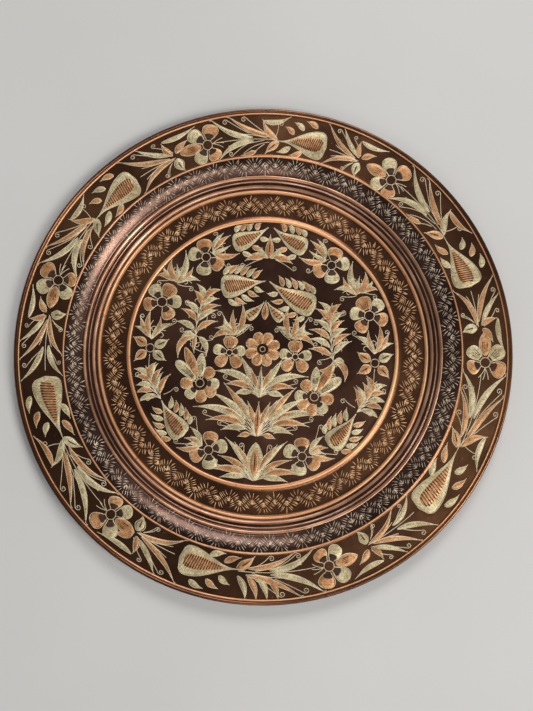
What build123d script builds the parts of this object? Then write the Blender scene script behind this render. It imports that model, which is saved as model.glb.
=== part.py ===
from build123d import *
import math
import os

# A spun copper tray, 360 mm across, with a wired edge and a hanging ring behind it.
# Millimetres. +Z is up, z = 0 is the face the tray rests on, and the origin is under
# the middle of the floor. +Y is the top of the tray when it hangs on a wall.

# ---- driving dimensions ----
TRAY_R = 180.0
SHEET = 0.7
EDGE_WIRE_R = 0.6
EDGE_GAP = 0.03
ROLL_DROP = 0.2

# Upper face of the sheet, from the middle outwards.
FLOOR_R = 118.0
STEP_OUT_R = 131.5
STEP_OUT_Z = 4.2
RIM_IN_R = 144.0
RIM_IN_Z = 9.7
RIM_OUT_R = 177.6
RIM_OUT_Z = 10.8
SHOULDER_FOOT_ANGLE = 40.0

# Turned beads on the upper face: (middle radius, half width, height over the sheet).
BEADS = {
    "floor_ring": (98.4, 1.3, 0.45),
    "step_ring": (119.85, 1.15, 0.8),
    "brown_band": (123.6, 1.35, 0.25),
    "thin_ridge": (126.9, 0.55, 0.5),
    "shoulder_ring": (130.1, 1.4, 0.6),
    "rim_inner_line": (144.3, 0.55, 0.3),
    "rim_outer_line": (176.6, 0.45, 0.3),
}

# Hanger: a strip of copper bent round the ring and soldered under the rim at +Y.
HANGER_R = 153.0
STRAP_SHEET = 0.8
STRAP_WIDTH = 6.0
STRAP_FOOT = 5.0
STRAP_BEND_R = 1.0
STRAP_WALL = 0.2
RING_WIRE_R = 0.9
RING_MEAN_R = 8.1
RING_PLAY = 0.08
FLOOR_CLEARANCE = 0.05
SOLDER_LEG = 0.7

# Worked out from the above.
ROLL_OUTER_R = EDGE_WIRE_R + EDGE_GAP + SHEET
EDGE_CENTRE = (TRAY_R - ROLL_OUTER_R, RIM_OUT_Z - ROLL_DROP)
RIM_SLOPE = math.degrees(math.atan2(RIM_OUT_Z - RIM_IN_Z, RIM_OUT_R - RIM_IN_R))
RING_BOW = RING_MEAN_R - math.sqrt(RING_MEAN_R**2 - (STRAP_WIDTH / 2) ** 2)
STRAP_EYE_R = RING_WIRE_R + RING_BOW + RING_PLAY
STRAP_DROP = STRAP_BEND_R + STRAP_SHEET + STRAP_WALL


def arc_with_start_tangent(start, end, start_angle):
    """Return the arc from start to end that leaves start at start_angle degrees."""
    chord_angle = math.degrees(math.atan2(end[1] - start[1], end[0] - start[0]))
    half_turn = math.radians(start_angle - chord_angle)
    chord = math.dist(start, end)
    rise = 0.5 * chord * math.tan(half_turn / 2)
    middle = ((start[0] + end[0]) / 2, (start[1] + end[1]) / 2)
    across = math.radians(chord_angle + 90)
    top = (middle[0] + rise * math.cos(across), middle[1] + rise * math.sin(across))
    return Edge.make_three_point_arc(Vector(*start, 0), Vector(*top, 0), Vector(*end, 0))


def straight(start, end):
    return Edge.make_line(Vector(*start, 0), Vector(*end, 0))


def sheet_height(radius):
    """Height of the sheet's upper face, without its beads, at a radius on a straight run."""
    if radius <= FLOOR_R:
        return SHEET
    if radius <= STEP_OUT_R:
        share = (radius - FLOOR_R) / (STEP_OUT_R - FLOOR_R)
        return SHEET + share * (STEP_OUT_Z - SHEET)
    share = (radius - RIM_IN_R) / (RIM_OUT_R - RIM_IN_R)
    return RIM_IN_Z + share * (RIM_OUT_Z - RIM_IN_Z)


def sheet_section():
    """Section of the sheet: floor, stepped slope, convex shoulder and rim."""
    upper = Wire([
        straight((0, SHEET), (FLOOR_R, SHEET)),
        straight((FLOOR_R, SHEET), (STEP_OUT_R, STEP_OUT_Z)),
        arc_with_start_tangent((STEP_OUT_R, STEP_OUT_Z), (RIM_IN_R, RIM_IN_Z), SHOULDER_FOOT_ANGLE),
        straight((RIM_IN_R, RIM_IN_Z), (RIM_OUT_R, RIM_OUT_Z)),
    ])
    outline = upper.offset_2d(SHEET, kind=Kind.INTERSECTION, side=Side.RIGHT, closed=True)
    return Sketch() + -Face(outline)


def bead_section(middle_r, half_width, height):
    """A round-topped bead, set into the sheet by half its thickness."""
    radius = (half_width**2 + height**2) / (2 * height)
    centre = (middle_r, sheet_height(middle_r) + height - radius)
    root = Pos(middle_r, sheet_height(middle_r) + height) * Rectangle(2 * half_width, 2 * height + SHEET)
    return (Pos(*centre) * Circle(radius)) & root


def rolled_edge_section():
    """The edge of the sheet, rolled downwards once round the wire."""
    return Pos(*EDGE_CENTRE) * (Circle(ROLL_OUTER_R) - Circle(EDGE_WIRE_R + EDGE_GAP))


def dish():
    """The whole spun sheet with its beads and its rolled edge."""
    section = sheet_section() + rolled_edge_section()
    for middle_r, half_width, height in BEADS.values():
        section += bead_section(middle_r, half_width, height)
    return revolve(Plane.XZ * section, Axis.Z)


def edge_wire():
    """The wire that the edge is rolled round."""
    return Pos(0, 0, EDGE_CENTRE[1]) * Torus(EDGE_CENTRE[0], EDGE_WIRE_R)


def under_rim_z():
    """Height of the rim's underside where the hanger is soldered on."""
    return sheet_height(HANGER_R) - SHEET / math.cos(math.radians(RIM_SLOPE))


def hanger_place():
    """Frame of the hanger: X along the ring's pivot, Y outwards along the rim, Z out of its face."""
    pivot = (0, HANGER_R, under_rim_z() - STRAP_DROP)
    return Location(pivot, (RIM_SLOPE, 0, 0))


def hanger_strap(sheet):
    """An eye and two feet, bent from one strip. The feet lie against the underside of the sheet."""
    bend = STRAP_BEND_R + STRAP_SHEET
    knee = STRAP_EYE_R + bend
    toe = knee + STRAP_FOOT
    corner = bend * math.sin(math.radians(45))
    half = [
        straight((-toe, STRAP_DROP), (-knee, STRAP_DROP)),
        Edge.make_three_point_arc(
            Vector(-knee, STRAP_DROP),
            Vector(-knee + corner, STRAP_DROP - bend + corner),
            Vector(-STRAP_EYE_R, STRAP_DROP - bend),
        ),
        straight((-STRAP_EYE_R, STRAP_DROP - bend), (-STRAP_EYE_R, 0)),
    ]
    other_half = [edge.mirror(Plane.YZ) for edge in half]
    eye = Edge.make_three_point_arc(
        Vector(-STRAP_EYE_R, 0), Vector(0, -STRAP_EYE_R), Vector(STRAP_EYE_R, 0)
    )
    inner_side = Wire(half + [eye] + other_half)
    outline = inner_side.offset_2d(STRAP_SHEET, kind=Kind.ARC, side=Side.RIGHT, closed=True)
    section = Plane.YZ * make_face(outline.edges())
    strap = extrude(section, STRAP_WIDTH / 2, both=True)
    return hanger_place() * strap - sheet


def strap_solder(sheet):
    """Soft-solder fillets along both sides of both feet."""
    knee = STRAP_EYE_R + STRAP_BEND_R + STRAP_SHEET
    side = STRAP_WIDTH / 2
    fillets = []
    for way in (-1, 1):
        outline = Polyline(
            (way * side, STRAP_DROP),
            (way * (side + SOLDER_LEG), STRAP_DROP),
            (way * side, STRAP_DROP - SOLDER_LEG),
            close=True,
        )
        for start in (knee, -knee - STRAP_FOOT):
            prism = extrude(Plane.XZ * make_face(outline), STRAP_FOOT, dir=(0, 1, 0))
            fillets.append(hanger_place() * Pos(0, start, 0) * prism - sheet)
    return Compound(children=fillets)


def hanging_ring():
    """A wire ring through the strap's eye. It leans down until its far side is at the floor."""
    drop = hanger_place().position.Z - RING_WIRE_R - FLOOR_CLEARANCE
    lean = math.degrees(math.asin(drop / (2 * RING_MEAN_R)))
    pivot = Location(hanger_place().position, (-lean, 0, 0))
    return pivot * Pos(0, RING_MEAN_R, 0) * Torus(RING_MEAN_R, RING_WIRE_R)


def main():
    os.makedirs("parts", exist_ok=True)
    sheet = dish()
    pieces = {
        "dish": sheet,
        "edge_wire": edge_wire(),
        "hanger_strap": hanger_strap(sheet),
        "strap_solder": strap_solder(sheet),
        "hanging_ring": hanging_ring(),
    }
    for name, piece in pieces.items():
        export_step(piece, f"parts/{name}.step")
    pivot = hanger_place().position
    print(f"ring pivot, mm: {pivot.X:.3f} {pivot.Y:.3f} {pivot.Z:.3f}")


if __name__ == "__main__":
    main()
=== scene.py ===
import math
import random
from functools import partial

import bpy
import numpy as np
from mathutils import Matrix, Vector, noise


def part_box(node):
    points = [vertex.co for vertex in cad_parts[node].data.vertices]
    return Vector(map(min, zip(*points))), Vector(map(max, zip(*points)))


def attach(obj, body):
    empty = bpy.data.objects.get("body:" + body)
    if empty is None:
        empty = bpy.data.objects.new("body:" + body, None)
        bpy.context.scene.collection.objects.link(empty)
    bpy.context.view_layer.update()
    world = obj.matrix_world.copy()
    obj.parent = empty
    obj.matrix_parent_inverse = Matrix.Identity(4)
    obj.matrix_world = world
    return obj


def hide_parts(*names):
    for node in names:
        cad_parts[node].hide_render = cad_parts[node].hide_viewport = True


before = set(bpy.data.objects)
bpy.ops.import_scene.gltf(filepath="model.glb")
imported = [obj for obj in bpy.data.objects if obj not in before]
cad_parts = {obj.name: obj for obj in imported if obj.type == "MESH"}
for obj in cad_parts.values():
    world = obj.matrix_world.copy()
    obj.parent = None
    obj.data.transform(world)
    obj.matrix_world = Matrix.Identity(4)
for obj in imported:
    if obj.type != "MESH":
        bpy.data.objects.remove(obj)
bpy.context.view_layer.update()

# The design is in millimetres. Meshes, bumps, lamps and the table are made in metres.
MM = 0.001
BODY = "tray"
dish_low, dish_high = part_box("dish")
TRAY_R = (dish_high.x - dish_low.x) / 2 / MM

# ---------------------------------------------------------------- the spun sheet
# The section repeats the CAD model's own dimensions, in millimetres.
SHEET = 0.7
FLOOR_R = 118.0
STEP_OUT = (131.5, 4.2)
RIM_IN = (144.0, 9.7)
RIM_OUT = (177.6, 10.8)
SHOULDER_FOOT_ANGLE = 40.0
ROLL_R = 1.33
ROLL_DROP = 0.2
ROLL_CENTRE = (TRAY_R - ROLL_R, RIM_OUT[1] - ROLL_DROP)
# Turned beads: middle radius, half width, height over the sheet.
BEADS = {
    "floor_ring": (98.4, 1.3, 0.45),
    "step_ring": (119.85, 1.15, 0.8),
    "brown_band": (123.6, 1.35, 0.25),
    "thin_ridge": (126.9, 0.55, 0.5),
    "shoulder_ring": (130.1, 1.4, 0.6),
    "rim_inner_line": (144.3, 0.55, 0.3),
    "rim_outer_line": (176.6, 0.45, 0.3),
}
DISH_SEGMENTS = 480
EDGE_SEGMENTS = 20
WARP = 0.10            # how far the sheet wanders from true
WARP_SIZE = 46.0       # over what distance it does so
WARP_SEED = 3.1
RIPPLE = 0.012         # a finer unevenness on top of that
RIPPLE_SIZE = 7.0
RIPPLE_SEED = 7.7
EDGE_FADE = 20.0       # the width over which both die away towards the wired edge

RIM_MID_R = 160.5
FLOOR_BAND_R = 110.0
SHOULDER_BAND_R = 137.5
BOUQUET_R = 96.0


def shoulder_circle():
    """Centre and radius of the shoulder's arc, which leaves its foot at a set angle."""
    (r0, z0), (r1, z1) = STEP_OUT, RIM_IN
    chord = math.hypot(r1 - r0, z1 - z0)
    chord_angle = math.atan2(z1 - z0, r1 - r0)
    half_turn = math.radians(SHOULDER_FOOT_ANGLE) - chord_angle
    radius = chord / (2 * math.sin(half_turn))
    foot = math.radians(SHOULDER_FOOT_ANGLE)
    return (r0 + radius * math.sin(foot), z0 - radius * math.cos(foot)), radius


SHOULDER_CENTRE, SHOULDER_R = shoulder_circle()


def plain_z(r):
    """Height of the sheet's upper face without its beads."""
    r = np.asarray(r, float)
    arc = SHOULDER_CENTRE[1] + np.sqrt(np.maximum(SHOULDER_R**2 - (r - SHOULDER_CENTRE[0]) ** 2, 0))
    return np.select(
        [r <= FLOOR_R, r <= STEP_OUT[0], r <= RIM_IN[0]],
        [
            np.full_like(r, SHEET),
            SHEET + (r - FLOOR_R) / (STEP_OUT[0] - FLOOR_R) * (STEP_OUT[1] - SHEET),
            arc,
        ],
        RIM_IN[1] + (r - RIM_IN[0]) / (RIM_OUT[0] - RIM_IN[0]) * (RIM_OUT[1] - RIM_IN[1]),
    )


def bead_z(r):
    """Height that the turned beads add."""
    r = np.asarray(r, float)
    total = np.zeros_like(r)
    for middle, half, height in BEADS.values():
        radius = (half**2 + height**2) / (2 * height)
        inside = np.abs(r - middle) < half
        cap = np.sqrt(np.maximum(radius**2 - (r - middle) ** 2, 0)) - (radius - height)
        total += np.where(inside, cap, 0)
    return total


def warp_at(x, y):
    """Small unevenness of the sheet at one point."""
    slow = noise.noise((x / WARP_SIZE, y / WARP_SIZE, WARP_SEED))
    fast = noise.noise((x / RIPPLE_SIZE, y / RIPPLE_SIZE, RIPPLE_SEED))
    return WARP * slow + RIPPLE * fast


def surface_z(x, y):
    """Height of the finished upper face under design points, in millimetres."""
    x, y = np.asarray(x, float), np.asarray(y, float)
    r = np.hypot(x, y)
    warp = np.array([warp_at(a, b) for a, b in zip(x.ravel(), y.ravel())]).reshape(x.shape)
    return plain_z(r) + bead_z(r) + warp * edge_fade(r)


def edge_fade(r):
    """Keep the wired edge true, so that the tray stays round."""
    return np.clip((RIM_OUT[0] - np.asarray(r, float)) / EDGE_FADE, 0, 1)


def section_rings():
    """Radii and heights down the section, from the middle of the front round the edge to the back."""
    radii = set(np.round(np.linspace(0.0, RIM_OUT[0] - 0.3, 74)[1:], 3))
    for middle, half, _ in BEADS.values():
        radii.update(np.round(middle + half * np.cos(np.linspace(0, math.pi, 9)), 3))
    radii.update([FLOOR_R, STEP_OUT[0], RIM_IN[0]])
    radii.update(np.round(np.linspace(STEP_OUT[0], RIM_IN[0], 12), 3))
    front = np.array(sorted(radii))
    keep = np.insert(np.diff(front) > 0.05, 0, True)
    front = front[keep]
    rings = [(r, float(plain_z(r) + bead_z(r)), "front") for r in front]
    for angle in np.radians(np.linspace(165, -140, EDGE_SEGMENTS)):
        r = ROLL_CENTRE[0] + ROLL_R * math.cos(angle)
        rings.append((r, ROLL_CENTRE[1] + ROLL_R * math.sin(angle), "roll"))
    back = np.concatenate([
        np.linspace(RIM_OUT[0] - 1.0, RIM_IN[0] + 0.5, 14),
        np.linspace(RIM_IN[0], STEP_OUT[0], 10),
        np.linspace(STEP_OUT[0] - 1.0, FLOOR_R, 8),
        np.linspace(FLOOR_R - 6.0, 6.0, 12),
    ])
    for r in back:
        rings.append((float(r), float(back_z(r)), "back"))
    return rings


def back_z(r):
    """Height of the sheet's underside."""
    step = 0.05
    slope = (plain_z(r + step) - plain_z(r - step)) / (2 * step)
    return np.maximum(plain_z(r) - SHEET * np.sqrt(1 + slope**2), 0.0)


# ---------------------------------------------------------------- materials
BLACK = (0.0, 0.0, 0.0)
LATHE_SCALE = 1600.0   # fineness of the concentric lines that turning leaves
LATHE = "lathe"        # stands for those lines where a relief asks for noise
COLOUR_A, COLOUR_B, COLOUR_OUT = 6, 7, 2   # a mix node's sockets, where it mixes colours


class Nodes:
    """Short hand for building one node material. A noise is given as (scale, detail, roughness)."""

    def __init__(self, name):
        self.material = bpy.data.materials.new(name)
        self.material.use_nodes = True
        self.tree = self.material.node_tree
        self.tree.nodes.clear()
        self.shader = self.add("ShaderNodeBsdfPrincipled")
        self.link(self.shader, "BSDF", self.add("ShaderNodeOutputMaterial"), "Surface")
        self.where = self.add("ShaderNodeTexCoord")

    def add(self, kind, **values):
        node = self.tree.nodes.new(kind)
        for key, value in values.items():
            setattr(node, key, value)
        return node

    def link(self, a, out, b, into):
        self.tree.links.new(a.outputs[out], b.inputs[into])

    def set(self, node, **values):
        for key, value in values.items():
            node.inputs[key.replace("_", " ")].default_value = value

    def noise(self, scale, detail, rough):
        """Cloudy noise through the object's own space."""
        tex = self.add("ShaderNodeTexNoise")
        self.set(tex, Scale=scale, Detail=detail, Roughness=rough)
        self.link(self.where, "Object", tex, "Vector")
        return tex

    def graver_grain(self, stretch):
        """Noise drawn out across each leaf, as the rocking graver leaves it."""
        tex = self.add("ShaderNodeTexNoise")
        self.set(tex, Scale=1.0, Detail=3.0, Roughness=0.7)
        move = self.add("ShaderNodeMapping")
        self.set(move, Scale=stretch)
        self.link(self.add("ShaderNodeUVMap", uv_map="grain"), "UV", move, "Vector")
        self.link(move, "Vector", tex, "Vector")
        return tex

    def lathe_marks(self):
        """Fine concentric lines left by the spinning tool and the polishing cloth."""
        flat = self.add("ShaderNodeVectorMath", operation="MULTIPLY")
        flat.inputs[1].default_value = (1.0, 1.0, 0.0)
        self.link(self.where, "Object", flat, 0)
        length = self.add("ShaderNodeVectorMath", operation="LENGTH")
        self.link(flat, "Vector", length, 0)
        lines = self.add("ShaderNodeTexNoise", noise_dimensions="1D")
        self.set(lines, Scale=LATHE_SCALE, Detail=3.0, Roughness=0.7)
        self.link(length, "Value", lines, "W")
        return lines

    def ramp(self, noise, stops):
        """Colours at places along a noise's range."""
        ramp = self.add("ShaderNodeValToRGB")
        points = ramp.color_ramp.elements
        while len(points) < len(stops):
            points.new(0.5)
        for point, (place, colour) in zip(points, stops):
            point.position = place
            point.color = (*colour, 1.0)
        self.link(noise, "Fac", ramp, "Fac")
        return ramp

    def stained(self, tone, noise, start, stop, share, colour):
        """A tone with spots of another colour, from start to stop of a noise, at most share of it."""
        spots = self.ramp(self.noise(*noise), [(start, BLACK), (stop, (share, share, share))])
        mix = self.add("ShaderNodeMix", data_type="RGBA")
        self.link(spots, "Color", mix, 0)
        self.link(tone, "Color", mix, COLOUR_A)
        mix.inputs[COLOUR_B].default_value = (*colour, 1.0)
        self.link(mix, COLOUR_OUT, self.shader, "Base Color")

    def roughness(self, noise, low, high):
        """A roughness that drifts between two values."""
        span = self.add("ShaderNodeMapRange")
        for key, value in (("From Min", 0.3), ("From Max", 0.7), ("To Min", low), ("To Max", high)):
            span.inputs[key].default_value = value
        self.link(self.noise(*noise), "Fac", span, "Value")
        self.link(span, "Result", self.shader, "Roughness")

    def relief(self, layers):
        """Fine bumps, one over another: (texture, strength, depth in metres) for each."""
        under = None
        for texture, strength, depth in layers:
            bump = self.add("ShaderNodeBump")
            self.set(bump, Strength=strength, Distance=depth)
            self.link(texture, "Fac", bump, "Height")
            if under is not None:
                self.link(under, "Normal", bump, "Normal")
            under = bump
        self.link(under, "Normal", self.shader, "Normal")


def metal(name, clouds, tones, rough, metallic, stain=None, relief=(), **more):
    """A metal whose tones drift in clouds: tones are ramp stops, rough is (noise, low, high), and
    stain and relief are as the methods of Nodes take them, with a noise or LATHE as a texture."""
    kit = Nodes(name)
    tone = kit.ramp(kit.noise(*clouds), tones)
    if stain:
        kit.stained(tone, *stain)
    else:
        kit.link(tone, "Color", kit.shader, "Base Color")
    kit.roughness(*rough)
    if relief:
        kit.relief([
            (kit.lathe_marks() if texture == LATHE else kit.noise(*texture), strength, depth)
            for texture, strength, depth in relief
        ])
    kit.set(kit.shader, Metallic=metallic, **more)
    return kit.material


def patina(name, deep, middle, rubbed):
    """Dark heat-and-lacquer patina over copper, rubbed lighter in clouds."""
    return metal(
        name, (9.0, 5.0, 0.6), [(0.30, deep), (0.50, middle), (0.68, rubbed)],
        ((30.0, 5.0, 0.65), 0.18, 0.34), 0.85,
        stain=((420.0, 3.0, 0.7), 0.66, 0.74, 1.0, (0.30, 0.14, 0.07)),
        relief=[(LATHE, 0.12, 0.00006), ((110.0, 2.0, 0.5), 0.20, 0.0002)],
        Coat_Weight=0.15, Coat_Roughness=0.20,
    )


def inlay_metal(name, dark, middle, light, metallic, rough_low, rough_high, depth=0.85):
    """A rubbed-bright motif: the wriggling graver's cross strokes show along each leaf."""
    kit = Nodes(name)
    tone = kit.ramp(kit.noise(75.0, 4.0, 0.6), [(0.30, dark), (0.50, middle), (0.70, light)])
    strokes = kit.graver_grain((1.25, 0.45, 1.0))
    shade = kit.ramp(strokes, [(0.40, (0.34, 0.31, 0.29)), (0.50, (0.80, 0.79, 0.77)), (0.60, (1, 1, 1))])
    colour = kit.add("ShaderNodeMix", data_type="RGBA", blend_type="MULTIPLY")
    colour.inputs[0].default_value = depth
    kit.link(tone, "Color", colour, COLOUR_A)
    kit.link(shade, "Color", colour, COLOUR_B)
    kit.link(colour, COLOUR_OUT, kit.shader, "Base Color")
    kit.roughness((300.0, 3.0, 0.6), rough_low, rough_high)
    kit.relief([(strokes, 0.5, 0.00012)])
    kit.set(kit.shader, Metallic=metallic)
    return kit.material


MATERIAL = {
    # The sheet's own ground: on the rim and the inner band, on the slope, and behind the bouquet. The slope's
    # patina is darker than the rim's. That darkening is painted shade of the well's wall and the grooves
    # between its rings, laid over the copper's real patina.
    "patina": patina("patina_copper", (0.060, 0.026, 0.013), (0.13, 0.056, 0.026), (0.25, 0.115, 0.048)),
    # Copper's own patina, made darker as painted shade for the steps and the shoulder.
    "shade_darkened_patina": patina("copper_patina_with_painted_shade", (0.034, 0.018, 0.014), (0.076, 0.039, 0.028), (0.145, 0.076, 0.052)),
    "umber": patina("umber_copper", (0.040, 0.019, 0.013), (0.115, 0.054, 0.033), (0.235, 0.108, 0.062)),
    # Bare turned copper of the raised rings, polished by use and slightly golden.
    "bright": metal(
        "bright_copper", (14.0, 4.0, 0.6),
        [(0.32, (0.62, 0.29, 0.13)), (0.55, (0.78, 0.40, 0.19)), (0.70, (0.84, 0.52, 0.24))],
        ((60.0, 4.0, 0.6), 0.38, 0.54), 0.8,
        stain=((260.0, 4.0, 0.7), 0.60, 0.72, 0.8, (0.20, 0.08, 0.04)), relief=[(LATHE, 0.18, 0.00005)],
    ),
    # Half-worn ridges, where the patina has been rubbed back to brown copper.
    "satin": metal(
        "satin_copper", (22.0, 5.0, 0.65),
        [(0.34, (0.30, 0.14, 0.074)), (0.52, (0.50, 0.26, 0.145)), (0.68, (0.74, 0.44, 0.27))],
        ((70.0, 4.0, 0.6), 0.32, 0.46), 0.95, relief=[(LATHE, 0.2, 0.00006)],
    ),
    # The plain back: dull handled copper with spinning marks, brown stains and a little verdigris.
    "back": metal(
        "back_copper", (11.0, 6.0, 0.65),
        [(0.30, (0.17, 0.075, 0.042)), (0.50, (0.33, 0.155, 0.085)), (0.66, (0.48, 0.24, 0.13))],
        ((25.0, 5.0, 0.6), 0.32, 0.55), 0.9,
        stain=((34.0, 5.0, 0.7), 0.66, 0.80, 0.7, (0.10, 0.17, 0.12)), relief=[(LATHE, 0.35, 0.0001)],
    ),
    # The motifs, the lines round them, and the strokes of the two bands.
    "copper": inlay_metal(
        "copper_inlay", (0.40, 0.185, 0.075), (0.68, 0.345, 0.145), (0.84, 0.50, 0.25), 0.55, 0.36, 0.52
    ),
    "pale": inlay_metal(
        "tinned_inlay", (0.42, 0.355, 0.19), (0.68, 0.59, 0.34), (0.86, 0.76, 0.47), 0.45, 0.38, 0.56
    ),
    "line": inlay_metal(
        "graver_line", (0.66, 0.54, 0.34), (0.84, 0.72, 0.48), (0.95, 0.86, 0.62), 0.3, 0.35, 0.5, 0.25
    ),
    "gold": inlay_metal(
        "golden_stroke", (0.46, 0.25, 0.12), (0.80, 0.47, 0.23), (0.95, 0.66, 0.36), 0.4, 0.3, 0.45, 0.3
    ),
    "silver": inlay_metal(
        "silvery_stroke", (0.34, 0.27, 0.19), (0.66, 0.54, 0.39), (0.88, 0.76, 0.57), 0.6, 0.28, 0.42, 0.3
    ),
    # Blackened cuts inside the motifs, and the pit in the inner band.
    "dark": metal(
        "blackened_cut", (160.0, 3.0, 0.6), [(0.35, (0.026, 0.013, 0.009)), (0.65, (0.070, 0.034, 0.020))],
        ((200.0, 3.0, 0.6), 0.45, 0.7), 0.1, Specular_IOR_Level=0.2,
    ),
    # Copper showing where the edge is knocked and the rim is scratched.
    "bare": metal(
        "bare_copper", (240.0, 3.0, 0.6), [(0.35, (0.50, 0.22, 0.11)), (0.65, (0.85, 0.50, 0.30))],
        ((150.0, 3.0, 0.6), 0.28, 0.5), 1.0,
    ),
    # The hanger's strap and ring: drawn copper gone brown with handling.
    "wire": metal(
        "drawn_copper", (130.0, 4.0, 0.6),
        [(0.32, (0.20, 0.085, 0.045)), (0.52, (0.44, 0.20, 0.10)), (0.70, (0.62, 0.32, 0.17))],
        ((90.0, 4.0, 0.6), 0.25, 0.45), 1.0, relief=[((600.0, 2.0, 0.5), 0.15, 0.00004)],
    ),
    # Grey tin solder, dulled and slightly lumpy.
    "solder": metal(
        "tin_solder", (300.0, 4.0, 0.6), [(0.35, (0.22, 0.21, 0.19)), (0.65, (0.46, 0.45, 0.42))],
        ((200.0, 3.0, 0.6), 0.35, 0.6), 0.9, relief=[((500.0, 3.0, 0.6), 0.3, 0.0001)],
    ),
}


# ---------------------------------------------------------------- mesh building
def make_piece(name, verts_mm, faces, materials, face_materials=None, uvs=None):
    """Make one mesh piece that rides on the tray."""
    mesh = bpy.data.meshes.new(name)
    mesh.from_pydata((np.asarray(verts_mm) * MM).tolist(), [], faces)
    for material in materials:
        mesh.materials.append(material)
    if face_materials is not None:
        mesh.polygons.foreach_set("material_index", face_materials)
    mesh.polygons.foreach_set("use_smooth", [True] * len(mesh.polygons))
    if uvs is not None:
        layer = mesh.uv_layers.new(name="grain")
        corners = np.empty(len(mesh.loops), dtype=np.int32)
        mesh.loops.foreach_get("vertex_index", corners)
        layer.data.foreach_set("uv", np.asarray(uvs, dtype=np.float32)[corners].ravel())
    mesh.update()
    piece = bpy.data.objects.new(name, mesh)
    bpy.context.scene.collection.objects.link(piece)
    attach(piece, BODY)
    return piece


DISH_METALS = ("patina", "bright", "satin", "back", "shade_darkened_patina", "umber")
UMBER_FLOOR_R = BEADS["floor_ring"][0]   # the ground behind the bouquet
# Radii of the steps and the shoulder, which get the darker patina as painted shade.
PAINTED_SHADE_SPAN = (119.9, 143.9)   # the steps and the shoulder
BRIGHT_BEADS = ("floor_ring", "step_ring", "rim_inner_line", "rim_outer_line")
SATIN_BEADS = ("brown_band", "thin_ridge", "shoulder_ring")
SATIN_SHARE = 0.66             # only the crests of these are rubbed bare


def metal_at(r, side, next_side):
    """Which metal shows at a radius of the dish."""
    if "back" in (side, next_side):
        return "back"
    if side == "roll":
        return "patina"
    for names, metal_name, share in ((BRIGHT_BEADS, "bright", 1.0), (SATIN_BEADS, "satin", SATIN_SHARE)):
        for name in names:
            middle, half, _ = BEADS[name]
            if abs(r - middle) < half * share:
                return metal_name
    if r < UMBER_FLOOR_R:
        return "umber"
    # Between those radii the ground is the patina darkened as painted shade of the well's wall.
    return "shade_darkened_patina" if PAINTED_SHADE_SPAN[0] < r < PAINTED_SHADE_SPAN[1] else "patina"


def build_dish():
    """The spun sheet: one closed skin, with its turned rings in brighter metal."""
    rings = section_rings()
    turn = np.linspace(0, 2 * math.pi, DISH_SEGMENTS, endpoint=False)
    verts = []
    for r, z, side in rings:
        x, y = r * np.cos(turn), r * np.sin(turn)
        fade = float(edge_fade(r)) if side != "roll" else 0.0
        rise = np.array([warp_at(a, b) for a, b in zip(x, y)]) * fade if fade else 0.0
        height = np.maximum(z + rise, 0.0) if side == "back" else z + rise
        verts.append(np.stack([x, y, np.broadcast_to(height, x.shape)], 1))
    verts = np.concatenate(verts + [np.array([[0, 0, SHEET], [0, 0, 0.0]])])
    front_hub, back_hub = len(verts) - 2, len(verts) - 1
    last = (len(rings) - 1) * DISH_SEGMENTS
    faces, tones = [], []
    for i, (ring, following) in enumerate(zip(rings, rings[1:])):
        tone = DISH_METALS.index(metal_at((ring[0] + following[0]) / 2, ring[2], following[2]))
        for j in range(DISH_SEGMENTS):
            k = (j + 1) % DISH_SEGMENTS
            a, b = i * DISH_SEGMENTS, (i + 1) * DISH_SEGMENTS
            faces.append((a + j, b + j, b + k, a + k))
            tones.append(tone)
    for j in range(DISH_SEGMENTS):
        k = (j + 1) % DISH_SEGMENTS
        faces += [(front_hub, j, k), (back_hub, last + k, last + j)]
        tones += [DISH_METALS.index("umber"), DISH_METALS.index("back")]
    dish = make_piece("spun_dish", verts, faces, [MATERIAL[key] for key in DISH_METALS], tones)
    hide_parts("dish", "edge_wire")


def ways(line):
    """Unit vectors along a line, and to its left, at each of its points."""
    ahead = np.gradient(line, axis=0)
    ahead /= np.maximum(np.hypot(*ahead.T), 1e-9)[:, None]
    return ahead, np.stack([-ahead[:, 1], ahead[:, 0]], 1)


def strip_points(line, half, across):
    """Rows of points over a line, across being their places from one edge, -1, to the other, 1."""
    _, left = ways(line)
    points = line[:, None] + left[:, None] * (half[:, None] * across)[..., None]
    return points.reshape(-1, 2)


NICK_PROFILE = (-0.1, -0.012, -0.1)   # heights of a nick's rows against the edge's true round


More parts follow.
